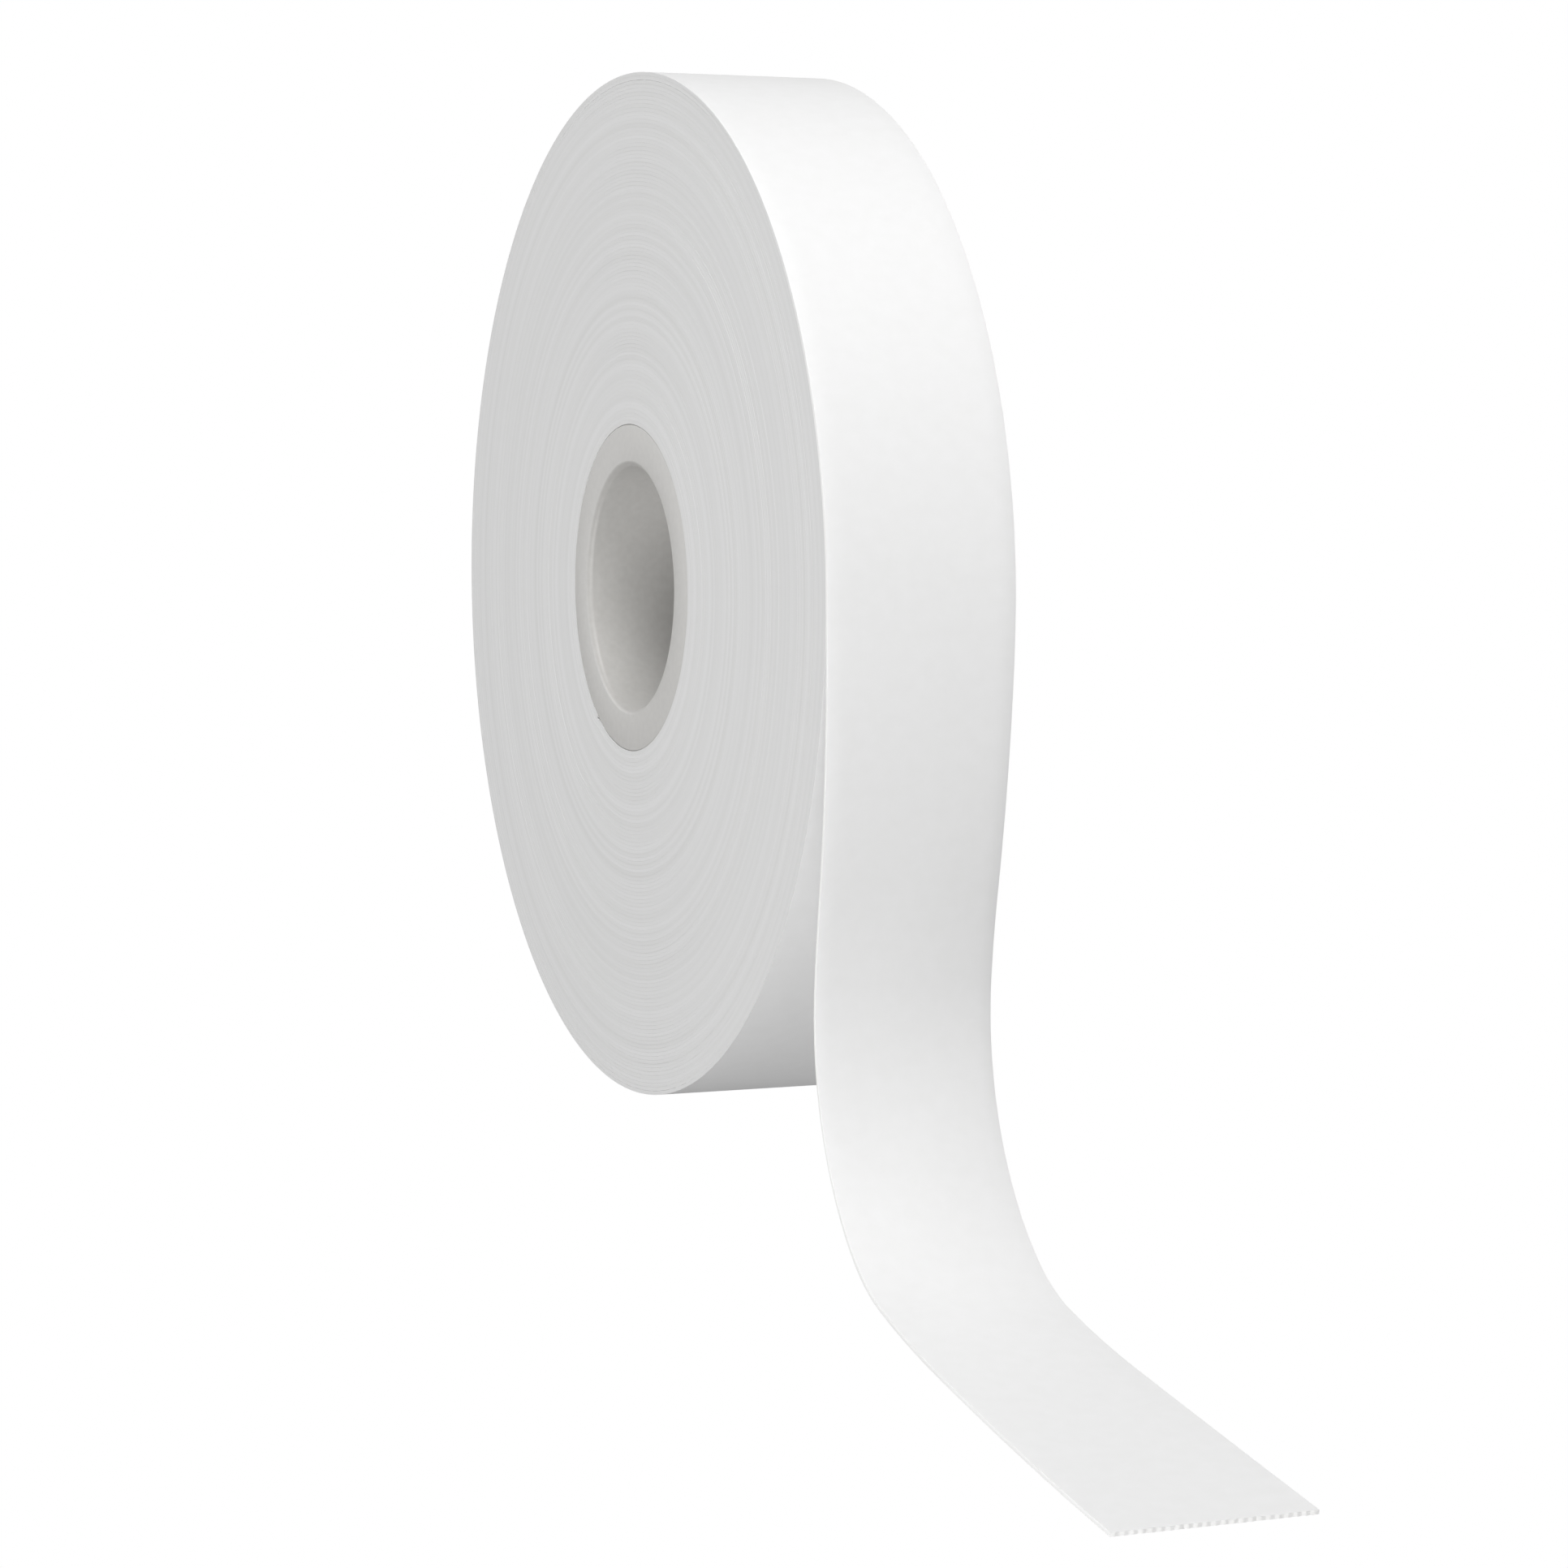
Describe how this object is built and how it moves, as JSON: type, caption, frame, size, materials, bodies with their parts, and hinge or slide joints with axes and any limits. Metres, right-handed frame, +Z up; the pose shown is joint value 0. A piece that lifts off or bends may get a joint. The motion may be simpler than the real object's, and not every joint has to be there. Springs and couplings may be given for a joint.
{
  "type": "grip tape roll",
  "caption": "Roll of white grip tape wound on a plastic core, with the free end hanging off it and peeling away from the roll.",
  "frame": {"origin": "centre of the roll, on the axis of the core's bore, midway across the tape", "axes": "+Y along the bore, +Z up, +X towards the side where the tape leaves the roll and hangs down"},
  "size_m": [0.2478, 0.029, 0.1901],
  "materials": {
    "core_plastic": "satin",
    "tack_film": "satin",
    "tape_white": "matte"
  },
  "bodies": {
    "roll": {"core_tube": "core_plastic", "core_tack_strip": "tack_film", "tape_wound_pack": "tape_white"},
    "outer_lap_1": {"outer_lap_1": "tape_white"},
    "outer_lap_2": {"outer_lap_2": "tape_white"},
    "outer_lap_3": {"outer_lap_3": "tape_white"},
    "outer_lap_4": {"outer_lap_4": "tape_white"},
    "tail_1": {"tail_1": "tape_white"},
    "tail_2": {"tail_2": "tape_white"},
    "tail_3": {"tail_3": "tape_white"},
    "tail_4": {"tail_4": "tape_white"},
    "tail_5": {"tail_5": "tape_white"},
    "tail_6": {"tail_6": "tape_white"},
    "tail_7": {"tail_7": "tape_white"},
    "tail_8": {"tail_8": "tape_white"}
  },
  "joints": [
    {"name": "outer_lap_1_peel", "type": "hinge", "parent": "roll", "child": "outer_lap_1", "pos_m": [0.03436, 0, 0.07169], "axis": [0, -1, 0], "range_deg": [0, 25], "stiffness_Nm_per_rad": 0.002},
    {"name": "outer_lap_2_peel", "type": "hinge", "parent": "outer_lap_1", "child": "outer_lap_2", "pos_m": [0.05292, 0, 0.05933], "axis": [0, -1, 0], "range_deg": [0, 25], "stiffness_Nm_per_rad": 0.002},
    {"name": "outer_lap_3_peel", "type": "hinge", "parent": "outer_lap_2", "child": "outer_lap_3", "pos_m": [0.06731, 0, 0.0423], "axis": [0, -1, 0], "range_deg": [0, 25], "stiffness_Nm_per_rad": 0.002},
    {"name": "outer_lap_4_peel", "type": "hinge", "parent": "outer_lap_3", "child": "outer_lap_4", "pos_m": [0.07641, 0, 0.02194], "axis": [0, -1, 0], "range_deg": [0, 25], "stiffness_Nm_per_rad": 0.002},
    {"name": "tail_1_bend", "type": "hinge", "parent": "outer_lap_4", "child": "tail_1", "pos_m": [0.0795, 0, -0.00015], "axis": [0.0001, -1, 0], "range_deg": [0, 20], "stiffness_Nm_per_rad": 0.002},
    {"name": "tail_2_bend", "type": "hinge", "parent": "tail_1", "child": "tail_2", "pos_m": [0.07835, 0, -0.02249], "axis": [0.0579, -0.9983, -0.0059], "range_deg": [-12, 20], "stiffness_Nm_per_rad": 0.002, "springref_deg": 5.79},
    {"name": "tail_3_bend", "type": "hinge", "parent": "tail_2", "child": "tail_3", "pos_m": [0.075, 0, -0.0446], "axis": [0.1094, -0.9938, -0.0192], "range_deg": [-14, 20], "stiffness_Nm_per_rad": 0.002, "springref_deg": 6.46},
    {"name": "tail_4_bend", "type": "hinge", "parent": "tail_3", "child": "tail_4", "pos_m": [0.0742, 0, -0.06683], "axis": [0.126, -0.9917, 0.0238], "range_deg": [-32, 20], "stiffness_Nm_per_rad": 0.002, "springref_deg": 6.61},
    {"name": "tail_5_bend", "type": "hinge", "parent": "tail_4", "child": "tail_5", "pos_m": [0.08372, 0, -0.0868], "axis": [0.0855, -0.9937, 0.0725], "range_deg": [-42, 20], "stiffness_Nm_per_rad": 0.002, "springref_deg": 5.27},
    {"name": "tail_6_bend", "type": "hinge", "parent": "tail_5", "child": "tail_6", "pos_m": [0.10248, 0, -0.09815], "axis": [0.0201, -0.9971, 0.0737], "range_deg": [-30, 20], "stiffness_Nm_per_rad": 0.002, "springref_deg": 3.19},
    {"name": "tail_7_bend", "type": "hinge", "parent": "tail_6", "child": "tail_7", "pos_m": [0.12435, 0, -0.10282], "axis": [0.0067, -0.9993, 0.0371], "range_deg": [-12, 20], "stiffness_Nm_per_rad": 0.002, "springref_deg": 1.43},
    {"name": "tail_8_bend", "type": "hinge", "parent": "tail_7", "child": "tail_8", "pos_m": [0.1464, 0, -0.10662], "axis": [0.0016, -1, 0.0096], "range_deg": [-12, 20], "stiffness_Nm_per_rad": 0.002, "springref_deg": 0.36}
  ]
}
